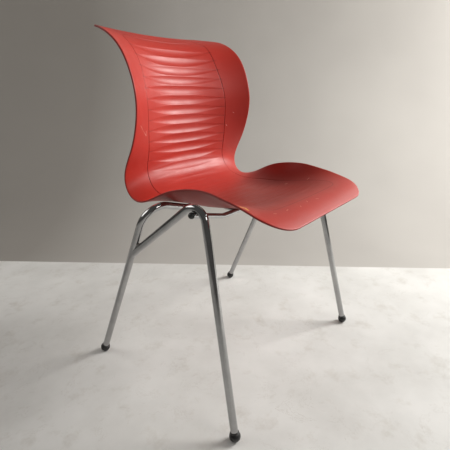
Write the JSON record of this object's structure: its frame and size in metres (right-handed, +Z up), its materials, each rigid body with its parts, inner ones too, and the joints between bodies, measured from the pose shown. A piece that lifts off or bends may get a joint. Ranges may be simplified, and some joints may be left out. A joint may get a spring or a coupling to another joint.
{
  "type": "student desk chair",
  "caption": "Stackable student chair with a one-piece moulded plastic shell, ribbed back panel and chromed tube legs.",
  "frame": {"origin": "on the floor, midway between the four feet in width, with the middle of the feet front to back at y = 0", "axes": "+Z up, -Y towards the front edge of the seat, +X towards the sitter's left"},
  "size_m": [0.5666, 0.5273, 0.8036],
  "materials": {
    "shell_plastic": "satin moulded, fine texture",
    "chrome_tube": "bright chromed tube",
    "black_plastic": "satin black",
    "pad_rubber": "matt",
    "screw_steel": "zinc plated",
    "tab_steel": "chromed plate",
    "weld_steel": "plated weld bead"
  },
  "bodies": {
    "root": {"brace_welds": "weld_steel", "front_cross_rod": "chrome_tube", "front_glide_left": "black_plastic", "front_glide_right": "black_plastic", "front_leg_left": "chrome_tube", "front_leg_right": "chrome_tube", "mounting_tab_front_left": "tab_steel", "mounting_tab_front_right": "tab_steel", "mounting_tab_rear_left": "tab_steel", "mounting_tab_rear_right": "tab_steel", "rear_glide_left": "black_plastic", "rear_glide_right": "black_plastic", "rear_leg_bow": "chrome_tube", "rod_cap_left": "black_plastic", "rod_cap_right": "black_plastic", "seat_shell": "shell_plastic", "shell_pad_front_left": "pad_rubber", "shell_pad_front_right": "pad_rubber", "shell_pad_rear_left": "pad_rubber", "shell_pad_rear_right": "pad_rubber", "shell_screw_front_left": "screw_steel", "shell_screw_front_right": "screw_steel", "shell_screw_rear_left": "screw_steel", "shell_screw_rear_right": "screw_steel"}
  },
  "joints": []
}
